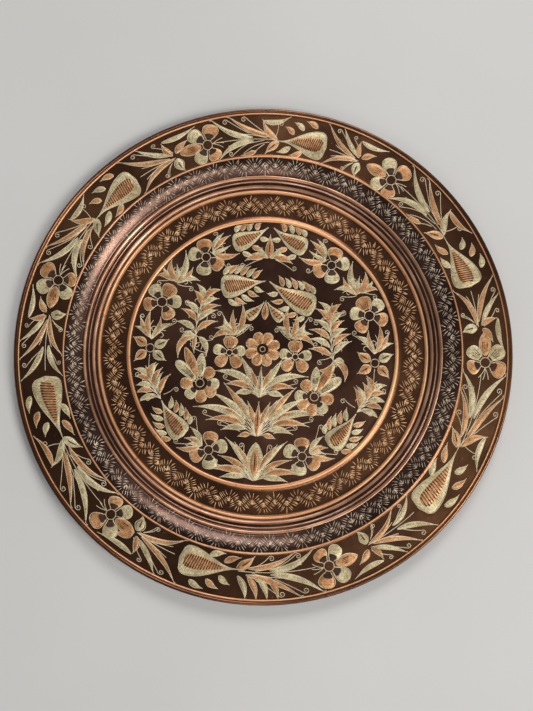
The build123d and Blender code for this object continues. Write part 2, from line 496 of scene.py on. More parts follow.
class Inlay:
    """Collects many small closed solids that lie on the sheet, and makes one piece of them."""

    def __init__(self, name, material):
        self.name, self.material = name, material
        self.verts, self.uvs, self.faces = [], [], []
        self.count = 0

    def ribbon(self, line, half, lift, crown=0.12, rows=7, root=0.06):
        """A strip along a line of design points. Half is its half width at each point, and root
        is how far its edges sit under the sheet, or over it where that is negative."""
        line, half = np.asarray(line, float), np.broadcast_to(half, (len(line),))
        if rows == 3:
            across, height = np.array([-1.0, 0.0, 1.0]), np.array([-root, lift, -root])
        elif rows == 5:
            across = np.array([-1.0, -0.8, 0.0, 0.8, 1.0])
            height = np.array([-root, lift, lift + crown, lift, -root])
        else:
            across = np.array([-1.0, -0.93, -0.5, 0.0, 0.5, 0.93, 1.0])
            top = lift + crown * np.array([0, 0.75, 1.0, 0.75, 0])
            height = np.concatenate([[-root], top, [-root]])
        flat = strip_points(line, half, across)
        z = surface_z(flat[:, 0], flat[:, 1]) + np.tile(height, len(line))
        along = np.concatenate([[0], np.cumsum(np.hypot(*np.diff(line, axis=0).T))])
        uv = np.stack([np.repeat(along, rows), (half[:, None] * across).ravel()], 1)
        self.verts.append(np.column_stack([flat, z]))
        self.uvs.append(uv + self.count % 97)
        self.close_strip(len(line), rows)

    def edge_patch(self, line, half):
        """A thin worn patch along the top of the rolled edge, level with the middles of its facets."""
        flat = strip_points(np.asarray(line, float), half, np.array([-1.0, 0.0, 1.0]))
        off = np.hypot(*flat.T) - ROLL_CENTRE[0]
        crown = ROLL_CENTRE[1] + np.sqrt(np.maximum(ROLL_R**2 - off**2, 0))
        self.verts.append(np.column_stack([flat, crown + np.tile(NICK_PROFILE, len(line))]))
        self.uvs.append(flat.copy())
        self.close_strip(len(line), 3)

    def close_strip(self, n, rows):
        """The faces of one strip of n by rows points, with its underside and its ends."""
        base = self.count
        for i in range(n - 1):
            a, b = base + i * rows, base + (i + 1) * rows
            for j in range(rows - 1):
                self.faces.append((a + j, b + j, b + j + 1, a + j + 1))
            self.faces.append((a + rows - 1, b + rows - 1, b, a))
        self.faces.append(tuple(base + j for j in range(rows)))
        self.faces.append(tuple(base + (n - 1) * rows + j for j in reversed(range(rows))))
        self.count += n * rows

    def make(self):
        return make_piece(
            self.name, np.concatenate(self.verts), self.faces, [self.material], uvs=np.concatenate(self.uvs)
        )


# ---------------------------------------------------------------- where motifs sit
class RimSpot:
    """A place on the rim. Local x runs clockwise along the rim, and local y runs outwards."""

    def __init__(self, angle, radius=RIM_MID_R, stretch=1.0):
        self.angle, self.radius, self.stretch = angle, radius, stretch

    def put(self, points):
        points = np.asarray(points, float)
        turn = np.radians(self.angle) - points[:, 0] * self.stretch / RIM_MID_R
        r = np.clip(self.radius + points[:, 1], RIM_IN[0] + 1.3, RIM_OUT[0] - 2.1)
        return np.stack([r * np.cos(turn), r * np.sin(turn)], 1)


class FloorSpot:
    """A place in the bouquet. Local y runs towards lean degrees from the bouquet's own up."""

    def __init__(self, x, y, lean=0.0, side=1, size=1.0):
        self.x, self.y, self.lean, self.side, self.size = x, y, math.radians(lean), side, size

    def put(self, points):
        points = np.asarray(points, float) * self.size
        c, s = math.cos(self.lean), math.sin(self.lean)
        x = points[:, 0] * c + points[:, 1] * s
        y = points[:, 1] * c - points[:, 0] * s
        placed = np.stack([self.side * (self.x + x), self.y + y], 1)
        reach = np.maximum(np.hypot(*placed.T), 1e-6)
        return placed * np.minimum(1, BOUQUET_R / reach)[:, None]


# ---------------------------------------------------------------- the engraver's strokes
LINE_HALF = 0.32       # half the width of a wriggled line
WRIGGLE_STEP = 1.1     # length of one rocking step of the graver
WRIGGLE_SWING = 0.15   # how far the line rocks to each side
OUTLINE_GAP = 0.12     # between a leaf's edge and the middle of the line round it
TAIL = 0.9             # how far a leaf's tip runs on as a line, against two of its steps
HOOK = 1.55            # how far a hooked line turns, against the degrees that it is given
PLUME_CLOSES = 26      # degrees by which a plume's leaves draw in towards its tip
SPIRAL_TURN = 430      # degrees that a tendril winds through
PETAL_BELLY = 0.6      # where along a rounded petal it is widest
LEAFLET_WIDTH = 3.3    # of the small leaves beside a drop
# Heights over the sheet, of the middle of a stroke (lift) and what a rounded one adds (crown).
LINE_LIFT = 0.13
FILL_LIFT, FILL_CROWN, DROP_CROWN = 0.08, 0.16, 0.22
CORE_LIFT, CORE_CROWN = 0.28, 0.12
SLIT_LIFT, CUT_LIFT, CORE_CUT_LIFT = 0.30, 0.32, 0.46
ON_LEAF = -0.20        # the edges of a stroke cut on top of a leaf stand this far over the sheet
ON_CORE = -0.34        # and those of a stroke on a drop's core
THINNEST = 0.08        # the least half width of a petal or a drop
THINNEST_LEAF = 0.06   # and of a leaf
OUTLINED = 0.9         # a shape whose half width passes this has a line round it
MOON_SHARE = 0.36      # how much of a petal's length its dark moon takes


def bend(start, end, bow, count):
    """Points from start to end along a curve that bows to the left by bow."""
    start, end = np.asarray(start, float), np.asarray(end, float)
    t = np.linspace(0, 1, count)[:, None]
    way = end - start
    left = np.array([-way[1], way[0]]) / max(np.hypot(*way), 1e-9)
    middle = (start + end) / 2 + left * bow * 2
    return (1 - t) ** 2 * start + 2 * t * (1 - t) * middle + t**2 * end


def polar(origin, degrees, distance):
    """The point at a bearing and distance from another."""
    angle = math.radians(degrees)
    return np.array([origin[0] + distance * math.cos(angle), origin[1] + distance * math.sin(angle)])


def turn_towards(start, end):
    """Degrees from +x of the way from start to end."""
    return math.degrees(math.atan2(end[1] - start[1], end[0] - start[0]))


def resample(points, step):
    """The same path with points at an even spacing."""
    points = np.asarray(points, float)
    along = np.concatenate([[0], np.cumsum(np.hypot(*np.diff(points, axis=0).T))])
    count = max(int(along[-1] / step), 2)
    even = np.linspace(0, along[-1], count + 1)
    return np.stack([np.interp(even, along, points[:, k]) for k in (0, 1)], 1)


def leaf_half(t, width):
    """Half width of a lance-shaped leaf, from its root at 0 to its tip at 1."""
    return np.maximum(width / 2 * np.sin(math.pi * t**0.76) ** 1.1, THINNEST_LEAF)


def petal_half(t, width, neck=0.42):
    """Half width of a rounded petal that widens from its neck."""
    rise = neck + (1 - neck) * np.sin(np.minimum(t / PETAL_BELLY, 1) * math.pi / 2)
    close = np.sqrt(np.maximum(1 - np.maximum((t - PETAL_BELLY) / (1 - PETAL_BELLY), 0) ** 2.2, 0))
    return np.maximum(width / 2 * rise * close, THINNEST)


def oval_half(t, width):
    """Half width of a long oval petal with pointed ends."""
    return np.maximum(width / 2 * np.sin(math.pi * t) ** 0.7, THINNEST)


def pear_half(t, width, belly=0.84, taper=1.9):
    """Half width of a drop with a slender neck and a blunt fat end."""
    rise = np.sin(np.minimum(t / belly, 1) * math.pi / 2) ** taper
    close = np.maximum(1 - np.maximum((t - belly) / (1 - belly), 0) ** 2.6, 0) ** 0.5
    return np.maximum(width / 2 * rise * close, THINNEST)


def edge_path(line, half, gap):
    """A path round a strip, just outside its edge, from its root round the tip and back."""
    _, left = ways(line)
    side = left * (half + gap)[:, None]
    return np.concatenate([line + side, (line - side)[::-1]])


class Engraver:
    """Draws motifs into the inlays of one zone."""

    def __init__(self, zone, seed):
        self.copper = Inlay(f"{zone}_copper_leaves", MATERIAL["copper"])
        self.pale = Inlay(f"{zone}_tinned_leaves", MATERIAL["pale"])
        self.lines = Inlay(f"{zone}_graver_lines", MATERIAL["line"])
        self.dark = Inlay(f"{zone}_dark_cuts", MATERIAL["dark"])
        self.random = random.Random(seed)

    def tone(self, key):
        return {"c": self.copper, "p": self.pale}[key]

    def wriggle(self, spot, points):
        """A line made by rocking the graver from side to side."""
        path = resample(spot.put(points), WRIGGLE_STEP / 2)
        swing = np.where(np.arange(len(path)) % 2, WRIGGLE_SWING, -WRIGGLE_SWING)
        path = path + ways(path)[1] * swing[:, None]
        self.lines.ribbon(path, LINE_HALF, lift=LINE_LIFT, rows=3)

    def cut(self, spot, line, half, lift=CUT_LIFT, root=ON_LEAF):
        """A dark stroke on top of a filled shape."""
        self.dark.ribbon(spot.put(line), half, lift=lift, rows=3, root=root)

    def core(self, spot, line, half):
        """A rounded copper shape on top of a pale one."""
        self.copper.ribbon(spot.put(line), half, lift=CORE_LIFT, crown=CORE_CROWN)

    def fill(self, spot, line, half, tone, crown=FILL_CROWN):
        """A filled shape with a wriggled line round it, unless it is a very thin one."""
        self.tone(tone).ribbon(spot.put(line), half, lift=FILL_LIFT, crown=crown)
        if max(half) > OUTLINED:
            self.wriggle(spot, edge_path(line, half, OUTLINE_GAP))

    def leaf(self, spot, root, tip, bow, width, tone, slit=False, bare=0.0):
        """A leaf; bare is the share of its length, from the root, that is only a thin stem."""
        count = 15
        line = bend(root, tip, bow, count)
        if bare:
            self.wriggle(spot, line)
            line = resample(line[int(bare * count):], math.dist(root, tip) * (1 - bare) / count)
        half = leaf_half(np.linspace(0, 1, len(line)), width)
        self.fill(spot, line, half, tone)
        self.stem(spot, line[-2], line[-1] + (line[-1] - line[-3]) * TAIL)
        if slit:
            self.cut(spot, line[4:-3], half[4:-3] * 0.22, SLIT_LIFT)

    def petal(self, spot, angle, inner, outer, width, tone, mark):
        """A flower petal at an angle from the flower's middle."""
        way = np.array([math.cos(math.radians(angle)), math.sin(math.radians(angle))])
        t = np.linspace(0, 1, 17)
        line = way * (inner + (outer - inner) * t)[:, None]
        shape = oval_half if mark == "oval" else petal_half
        half = shape(t, width)
        self.fill(spot, line, half, tone)
        if mark == "slit":
            part = way * (inner + (outer - inner) * 0.55 * t)[:, None]
            self.cut(spot, part, 0.42 * (1 - 0.8 * t))
        if mark == "moon":
            part = way * (inner + (outer - inner) * MOON_SHARE * t)[:, None]
            self.dark.ribbon(spot.put(part), petal_half(t, width * 0.62, 0.55), lift=SLIT_LIFT, crown=0.02)
        if mark in ("oval", "hatch"):
            self.hatch(spot, line, half, 0.30 if mark == "oval" else 0.12, 0.72, 4)

    def hatch(self, spot, line, half, start, stop, rows):
        """Short dark strokes side by side, lying along a shape."""
        n = len(line) - 1
        _, side = ways(line)
        for k in range(rows):
            share = (k - (rows - 1) / 2) / rows * 1.2
            a = int(n * (start + self.random.uniform(0, 0.08)))
            b = max(int(n * (stop - self.random.uniform(0, 0.15))), a + 3)
            stroke = line[a:b] + side[a:b] * (half[a:b] * share)[:, None]
            self.cut(spot, stroke, 0.26)

    def ring(self, spot, radius):
        turn = np.linspace(0, 2 * math.pi, 25)
        self.wriggle(spot, np.stack([radius * np.cos(turn), radius * np.sin(turn)], 1))

    def flower(self, spot, hub, petals):
        """A ring with petals round it: (angle, reach, width, tone, mark) for each."""
        self.ring(spot, hub)
        for angle, reach, width, tone, mark in petals:
            self.petal(spot, angle, hub + 1.3, reach, width, tone, mark)
            for side in (-1, 1):
                way = math.radians(angle + side * 24)
                start = (hub * math.cos(way), hub * math.sin(way))
                self.stem(spot, start, (2.1 * start[0], 2.1 * start[1]))

    def curl(self, spot, root, angle, length, turn):
        """A thin line that runs straight, then hooks round by HOOK times turn degrees."""
        t = np.linspace(0, 1, 22)
        heading = np.radians(angle + turn * HOOK * t**2.6)
        step = length / (len(t) - 1)
        x = root[0] + np.concatenate([[0], np.cumsum(np.cos(heading[:-1]) * step)])
        y = root[1] + np.concatenate([[0], np.cumsum(np.sin(heading[:-1]) * step)])
        self.wriggle(spot, np.stack([x, y], 1))

    def tendril(self, spot, root, centre, spin, size=1.9):
        """A thin line that leaves its root and winds into a small spiral round a centre."""
        start = turn_towards(centre, root) + spin * math.degrees(math.acos(size / math.dist(root, centre)))
        turn = np.linspace(0, SPIRAL_TURN, 24)
        radius = size * (1 - 0.75 * turn / SPIRAL_TURN)
        spiral = [polar(centre, start + spin * a, r) for a, r in zip(turn, radius)]
        self.wriggle(spot, np.concatenate([bend(root, spiral[0], 0.6 * spin, 8)[:-1], spiral]))

    def stem(self, spot, start, end, bow=0.0):
        self.wriggle(spot, bend(start, end, bow, 9))

    def drop(self, spot, tip, end, width, band, strokes, bow=0.0):
        """A drop with a pale border round a hatched copper core."""
        count = 27
        line = bend(tip, end, bow, count)
        t = np.linspace(0, 1, count)
        half = pear_half(t, width)
        self.fill(spot, line, half, "p", DROP_CROWN)
        a, b = int(count * 0.22), int(count * 0.93)
        core = line[a:b]
        core_half = pear_half(np.linspace(0.05, 1, b - a), width - 2 * band, 0.80, 1.15)
        self.core(spot, core, core_half)
        ahead, side = ways(core)
        for k in np.linspace(2, b - a - 2, strokes):
            i = int(k)
            reach = core_half[i] * 0.88
            across = core[i] + np.outer(np.linspace(-1, 1, 5), side[i] * reach + ahead[i] * reach * 0.25)
            across += ahead[i] * (k - i) * np.hypot(*(core[1] - core[0]))
            self.cut(spot, across, 0.46, CORE_CUT_LIFT, ON_CORE)

    def tools(self, spot):
        """The three commonest strokes, tied to one place."""
        return partial(self.leaf, spot), partial(self.stem, spot), partial(self.tendril, spot)

    def plume(self, spot, start, end, bow, left, right, count, width):
        """A stem with a leaf at its end and more along both sides, each with a hooked line after it.

        Left and right are how long the leaves on each side are at the stem's foot.
        """
        steps = 24
        line = bend(start, end, bow, steps)
        ahead = np.gradient(line, axis=0)
        self.wriggle(spot, line)
        for k in range(count):
            share = (k + 0.1) / count
            i = int(share * (steps - 1))
            heading = math.degrees(math.atan2(ahead[i][1], ahead[i][0]))
            for sign, longest in ((1, left), (-1, right)):
                reach = longest * (1 - 0.25 * share) * self.random.uniform(0.92, 1.08)
                angle = heading + sign * (self.random.uniform(50, 60) - PLUME_CLOSES * share)
                root = line[i] + ahead[i] * (0.6 if sign < 0 else 0)
                tone = "cp"[(k + (sign < 0)) % 2]
                self.leaf(spot, root, polar(root, angle, reach), -0.17 * reach * sign, width, tone, bare=0.2)
                self.curl(spot, root, heading + sign * 10, reach * 0.86, sign * 150)
        way = ahead[-1] / np.hypot(*ahead[-1])
        self.leaf(spot, line[-5], line[-1] + way * 5, 0.5, width, "c")

    def leaflets(self, spot, tip, end, width, left, right, bow, length):
        """Small leaves along both sides of a drop, swept back towards its tip."""
        count = 40
        line = bend(tip, end, bow, count)
        half = pear_half(np.linspace(0, 1, count), width)
        ahead, side = ways(line)
        for sign, number in ((1, left), (-1, right)):
            for k in range(number):
                i = int(count * (0.20 + 0.74 * (k + 0.5) / number))
                root = line[i] + sign * side[i] * (half[i] + 1.1)
                reach = length * self.random.uniform(0.85, 1.1)
                leaf_tip = root - ahead[i] * reach * 0.78 + sign * side[i] * reach * 0.60
                tone = "cp"[(k + (sign < 0)) % 2]
                self.leaf(spot, root, leaf_tip, -0.8 * sign, LEAFLET_WIDTH, tone)

    def make(self):
        for inlay in (self.copper, self.pale, self.lines, self.dark):
            if inlay.count:
                inlay.make()


# ---------------------------------------------------------------- the rim border
# Six repeats, read clockwise. The degrees are where the drop's tip and fat end, the first spray's
# root, the flower and the second spray's root sit; the last values are the flower's distance from
# the tray's middle, the tones of the second spray's folded leaf, the habit of that spray and of
# the flower, and the tones of the leaflets beside the drop.
RIM_UNITS = [
    (144.6, 130.2, 118.1, 108.8, 89.4, 158.2, "cp", "plain", "cpc"),
    (89, 76.6, 67.2, 57, 36, 157.4, "pc", "plain", "cpc"),
    (34.6, 21.1, 10.2, 0.8, -22.6, 160.5, "cp", "hatched", "pcp"),
    (-23.9, -41.4, -57.5, -68.8, -92.6, 159.8, "pc", "upright", "pcp"),
    (-92.7, -107.7, -120.4, -128.6, -152.4, 158.8, "pc", "full", "pcp"),
    (-153, -169.3, -185.7, -195.2, -214.9, 157.7, "cp", "full", "pcp"),
]
MM_PER_DEGREE = math.radians(1) * RIM_MID_R
# Start, middle of the spiral and the way it winds, for the long spray's tendrils.
SPRAY_TENDRILS = [
    ((-24, 1.5), (-41.5, 11.6), 1),
    ((-12, 2), (-27.5, 12.2), 1),
    ((-24, -5.6), (-40.5, -12.4), -1),
    ((-12, -7), (-22.5, -12.6), -1),
]
# How far the drop and the sprays reach as they are drawn, before each is stretched to its place.
DROP_REACH = 40
FIRST_SPRAY_REACH = 27.5
LONG_SPRAY_REACH = 42
LONG_SPRAY_FROM = 40   # a first spray with more room than this is drawn longer
SECOND_SPRAY_REACH = 58.4
# Root and end of the leaflets beside a drop: three outside it, then two inside.
OUTER_LEAFLETS = [((10.5, 1.6), (4, 6.6)), ((18.5, 5.8), (11, 10.6)), ((29, 9.4), (20.5, 12.8))]
INNER_LEAFLETS = [((9, -8), (-1.5, -12.4)), ((20, -10.6), (10, -14))]


def rim_drop(eng, tip, fat, tones):
    length = (tip - fat) * MM_PER_DEGREE
    spot = RimSpot(tip, stretch=length / DROP_REACH)
    leaf, stem, _ = eng.tools(spot)
    eng.drop(spot, (0, -4.4), (DROP_REACH, -2.8), 20.5, band=4.7, strokes=15)
    stem((-6, -4), (1, -4.4))
    for tone, (root, end) in zip(tones, OUTER_LEAFLETS):
        leaf(root, end, -0.8, 3.7, tone)
    for tone, (root, end) in zip(tones[1:], INNER_LEAFLETS):
        leaf(root, end, 0.8, 3.9, tone)


def rim_first_spray(eng, root, fat):
    """The spray that points back over the drop's fat end."""
    length = (fat - root) * MM_PER_DEGREE
    long = length > LONG_SPRAY_FROM
    spot = RimSpot(root, stretch=length / (LONG_SPRAY_REACH if long else FIRST_SPRAY_REACH))
    leaf, stem, tendril = eng.tools(spot)
    leaf((-1, -4.2), (-26, -14), -2.5, 3, "c")
    leaf((-3.5, -2.6), (-28, 12.8), 3, 3, "c")
    leaf((-2.2, -0.4), (-17.5, 13.6), 1.6, 2.8, "p")
    stem((0, -3.5), (-24.5, -3.3))
    stem((-3, -3.6), (-22, -7.6), -0.8)
    stem((-3, -3.2), (-21, 1.4), 0.8)
    tendril((-8, 3), (-21.5, 12), 1, 1.7)
    tendril((-3, -6), (-9.5, -13), -1, 1.6)
    tendril((0, 0.5), (-8.6, 11.6), -1, 1.5)
    leaf((-1, -1.2), (-4.2, 9.2), 0.8, 3.4, "c")
    leaf((-3.8, 11.2), (14.5, 12.8), -1.8, 3, "p")
    leaf((1.6, -0.8), (9.5, 5.4), 0.8, 4, "c")
    leaf((1.2, -4.6), (2.4, -14.6), -1, 6.2, "p", slit=True)
    eng.curl(spot, (-3.5, -6.4), -140, 10, 40)
    if long:
        leaf((-22, -1.6), (-41.5, 12.6), 2.4, 3.2, "p")
        leaf((-21, -5.6), (-41, -13.6), -2, 3.2, "p")
        tendril((-24, -1), (-33.5, 11.8), -1, 1.7)
        tendril((-24, -6), (-33, -13), 1, 1.6)
        stem((-24.5, -3.3), (-38, -3))


def rim_flower(eng, angle, radius, habit):
    spot = RimSpot(angle, radius)
    soft = "hatch" if habit == "hatched" else "moon"
    eng.flower(spot, 3.6, [
        (180, 21.5, 8, "c", "oval"),
        (130, 16.5, 10, "p", soft),
        (66, 15.5, 11, "c", "moon"),
        (-66, 13.2, 10.5, "c", "moon"),
        (-132, 16, 9.6, "p", soft),
    ])
    for bearing in (20, -6, -30):
        eng.stem(spot, (4, 0), polar((4, 0), bearing, 8.5), 0.5)


def rim_second_spray(eng, root, flower, tones, habit):
    """The long spray between the flower and the next drop."""
    length = (flower - root) * MM_PER_DEGREE
    spot = RimSpot(root, stretch=length / SECOND_SPRAY_REACH)
    leaf, stem, tendril = eng.tools(spot)
    leaf((-21, -4.6), (-50, -14.2), -2.8, 3.7, "p")
    leaf((-21.5, -1.6), (-50, 13.6), 3.7, 3.6, "p")
    leaf((-6, -1), (-36.5, 13.6), 3, 3.3, "c")
    stem((-50, -2.4), (-1, -3.4))
    stem((-40, 1.8), (-10, -2.4), 1)
    stem((-42, -6.4), (-12, -3.9), -1)
    if habit == "plain":
        stem((-8, -5.4), (-30, -13.4), -1.5)
        leaf((-19, -12), (-31, -14.6), 0.6, 2.8, "c")
    else:
        leaf((-7, -5.8), (-36.5, -14.2), -2.2, 3.2, "c")
    for start, centre, spin in SPRAY_TENDRILS:
        tendril(start, centre, spin, 2)
    stem_tone, top_tone = tones
    if habit == "upright":
        for k, tone in enumerate("pcpc"):
            x = -1 - 6.2 * k
            leaf((x, 0), (x - 5.5, 14.2), 1.4, 3.3, tone)
    else:
        leaf((-1.5, -2.8), (-12.8, 9.8), 2.2, 4.2, stem_tone)
        leaf((-13, 10.6), (5.5, 13.4), -2.4, 3.4, top_tone)
        tendril((-3, -1), (0.6, 8.6), -1, 2)
    leaf((0, -5.2), (-10.5, -13.2), -0.6, 5.6, "p" if habit == "full" else "c", slit=True)


def rim_border():
    for number, unit in enumerate(RIM_UNITS, 1):
        tip, fat, first, flower, second, radius, tones, habit, leaflet_tones = unit
        eng = Engraver(f"rim_{number}", 100 + number)
        rim_drop(eng, tip, fat, leaflet_tones)
        rim_first_spray(eng, first, fat)
        rim_flower(eng, flower, radius, habit)
        rim_second_spray(eng, second, flower, tones, habit)
        eng.make()


# ---------------------------------------------------------------- the bouquet in the well
# The bouquet is nearly symmetrical, so most motifs are drawn for the right half and again,
# mirrored, for the left. Places are millimetres from the tray's middle, with y towards its top.
SIDE_FLOWER = (82.5, -2.6)
ARCH = 1.5             # how much more a fan's leaves bow than a single one
SPRAY_FULLNESS = 1.12  # and how much wider they are
PETAL_OVERHANG = 3.8   # from a petal's middle to its outer edge
MIN_FAN_GAP = 14       # degrees between leaves that leave room for a tendril
MAX_FAN_GAP = 120      # a wider gap is the open side of the fan


def bloom(eng, spot, centre, hub, petals):
    """A flower whose petals are given by their middles: (middle, width, tone, mark) for each."""
    here = FloorSpot(centre[0], centre[1], 0, spot.side)
    eng.ring(here, hub)
    for middle, width, tone, mark in petals:
        angle = turn_towards(centre, middle)
        reach = math.dist(centre, middle) + PETAL_OVERHANG
        eng.petal(here, angle, hub + 1.2, reach, width, tone, mark)
        for side in (-1, 1):
            way = math.radians(angle + side * 26)
            start = (hub * math.cos(way), hub * math.sin(way))
            eng.stem(here, start, (1.9 * start[0], 1.9 * start[1]))


def spray(eng, spot, root, leaves, bare=0.18):
    """Leaves that fan from one root, (tip, bow, width, tone) for each, with tendrils between."""
    fan = sorted(leaves, key=lambda leaf: turn_towards(root, leaf[0]))
    for tip, bow, width, tone in leaves:
        eng.leaf(spot, root, tip, bow * ARCH, width * SPRAY_FULLNESS, tone, bare=bare)
        beside = polar(root, turn_towards(root, tip) + 9, 0.7 * math.dist(root, tip))
        eng.stem(spot, root, beside, bow * ARCH)
    for first, second in zip(fan, fan[1:]):
        low, high = turn_towards(root, first[0]), turn_towards(root, second[0])
        gap = high - low
        if gap > MAX_FAN_GAP:
            continue
        shorter = min(math.dist(root, first[0]), math.dist(root, second[0]))
        if gap > 2 * MIN_FAN_GAP:
            tone = "c" if first[3] == "p" else "p"
            eng.leaf(spot, root, polar(root, low + gap * 0.5, 0.74 * shorter), 0.6, 2.4, tone)
            eng.curl(spot, root, low + gap * 0.25, shorter * 0.85, 170)
            eng.curl(spot, root, low + gap * 0.75, shorter * 0.85, -170)
        elif gap > MIN_FAN_GAP:
            eng.curl(spot, root, low + gap * 0.5, shorter * 0.9, 180)


def leafy_drop(eng, spot, tip, end, width, band, strokes, leaves, bow, length):
    """A drop with small leaves along both of its sides."""
    eng.drop(spot, tip, end, width, band=band, bow=bow, strokes=strokes)
    eng.leaflets(spot, tip, end, width, *leaves, bow=bow, length=length)


def outer_wreath(eng, spot):
    leafy_drop(
        eng, spot, (2, 93), (27.5, 79), 13.5, band=2.7, strokes=11, leaves=(4, 3), bow=-1.5, length=7.5
    )
    spray(eng, spot, (0.8, 70), [((16.5, 67.6), 1.4, 4.4, "c"), ((8.6, 78), -0.8, 3.8, "p")])
    bloom(eng, spot, (46.5, 67.6), 3.2, [
        ((48.7, 77.2), 10.8, "c", "moon"), ((55.8, 69.4), 9.6, "p", "moon"),
        ((47.5, 57.9), 10.4, "p", "moon"), ((37.2, 62.9), 10.4, "c", "moon"),
    ])
    spray(eng, spot, (42, 71), [
        ((31, 84.5), -1, 3, "c"), ((23.5, 71.5), 1.6, 3.6, "c"), ((36, 85.5), -1, 3, "p"),
    ])
    spray(eng, spot, (67, 47.5), [
        ((61.6, 69.5), 2, 3.8, "p"), ((72, 63), -1.6, 3.8, "c"), ((51, 50), -1.6, 3.6, "p"),
        ((81, 52), 1.4, 3.8, "c"), ((56, 58), 1.4, 3, "c"), ((77.6, 57.6), -0.8, 3, "p"),
    ])
    bloom(eng, spot, (76.5, 32), 3.6, [
        ((71.4, 41.8), 11, "c", "hatch"), ((82.6, 40.8), 9.2, "p", "moon"), ((86.2, 29.8), 9.6, "c", "moon"),
        ((71, 23.2), 9.6, "c", "moon"), ((66, 33), 9.2, "p", "moon"),
    ])
    spray(eng, spot, (82, 4), [
        ((84.6, 24), -1.6, 3.4, "c"), ((69.4, 16), -1.6, 3.6, "p"), ((94, 12.6), 1.2, 3.4, "p"),
        ((76.5, 19.5), 1, 2.8, "c"), ((91, 19), -1, 2.8, "c"),
    ])
    tones = "pccc" if spot.side > 0 else "cpcp"
    for bearing, tone in zip((30, 152, -43, -145), tones):
        root, tip = polar(SIDE_FLOWER, bearing, 3.6), polar(SIDE_FLOWER, bearing, 14)
        eng.leaf(spot, root, tip, 0.4, 6.6, tone, slit=True)
    eng.ring(FloorSpot(*SIDE_FLOWER, 0, spot.side), 3)
    eng.plume(spot, (71.5, -39.5), (82.6, -21.5), -1.2, 17, 15, 5, width=3.7)
    eng.stem(spot, (82.4, -22), (82.5, -7))
    leafy_drop(
        eng, spot, (71, -40.5), (53, -65), 15, band=3, strokes=12, leaves=(5, 5), bow=1.2, length=8.5
    )
    bloom(eng, spot, (34, -74), 3.2, [
        ((33.2, -64.4), 10.4, "c", "moon"), ((43.4, -78.6), 10, "c", "moon"),
        ((32.4, -83.8), 10.4, "p", "moon"), ((24.4, -70.6), 9.6, "p", "moon"),
    ])
    spray(eng, spot, (39, -71), [
        ((47.5, -59), 1, 3, "p"), ((56, -74), -1.2, 3.4, "c"), ((51, -66.5), 0.8, 2.8, "c"),
    ])
    spray(eng, spot, (0.8, -93.6), [
        ((31, -86.8), 2.4, 3.9, "c"), ((23, -92.4), 1.5, 3.5, "p"), ((20.6, -65.6), 1.6, 3.7, "p"),
        ((14.2, -68.6), 0.8, 3.4, "c"), ((24.6, -77.6), 2, 3.3, "c"), ((17.4, -84), 1.5, 2.8, "p"),
    ], bare=0.3)


def middle_wreath(eng, spot):
    """The two big drops over the middle, with side sprays, long-petalled flowers and a foot spray."""
    right = spot.side > 0
    fat, bow = ((36.6, 35.5), -2) if right else ((33.8, 45.6), 0)
    leafy_drop(eng, spot, (1.5, 52.6), fat, 16.8, band=3.1, strokes=14, leaves=(6, 5), bow=bow, length=8.5)
    if right:
        eng.plume(spot, (52.2, -3), (48.6, 33), 1, 20, 17, 6, width=3.9)
        spray(eng, spot, (52.2, -3.5), [
            ((42.4, -10.6), 2.2, 3.4, "c"), ((61.6, -16.4), 2.6, 3.6, "c"), ((60, -6), 1.6, 3, "p"),
        ])
    else:
        eng.plume(spot, (49.7, 9), (44, 40), -2, 19, 17, 5, width=3.9)
        spray(eng, spot, (49.7, 8.9), [
            ((61.7, -6.6), 3, 3.8, "c"), ((41.1, -4.4), -2, 3.6, "p"), ((60, 6), 1.6, 3, "p"),
        ])
    x, y = (40, -30.3) if right else (44, -25.8)
    bloom(eng, spot, (x, y), 3, [
        ((x + 11, y + 22), 6.8, "c", "oval"), ((x + 0.2, y + 18), 6.4, "p", "oval"),
        ((x + 15.6, y + 12.4), 6.8, "p", "hatch"),
    ])
    for bearing, tone in ((128, "c"), (180, "p"), (216, "c"), (262, "c"), (308, "p"), (355, "c")):
        eng.petal(FloorSpot(x, y, 0, spot.side), bearing, 5.2, 14.2, 7.8, tone, "moon" if tone == "p" else "")
    spray(eng, spot, (0.4, -61.6), [
        ((44, -43), 4.6, 4.2, "p"), ((35, -51.6), 3.8, 4, "c"), ((24.6, -58), 2.6, 3.8, "p"),
        ((13, -62.4), 0.9, 3, "c"), ((32.4, -33), 2.6, 3.9, "p"), ((24.4, -26.6), 1.2, 3.7, "c"),
        ((15.6, -33.6), 0.9, 3.5, "p"), ((7.6, -38), 0.4, 3.1, "c"),
    ], bare=0.36)
    spray(eng, spot, (9.6, -53.6), [((31, -43.4), 2.2, 3.2, "c"), ((13.6, -40.4), 0.6, 2.8, "p")], bare=0.3)


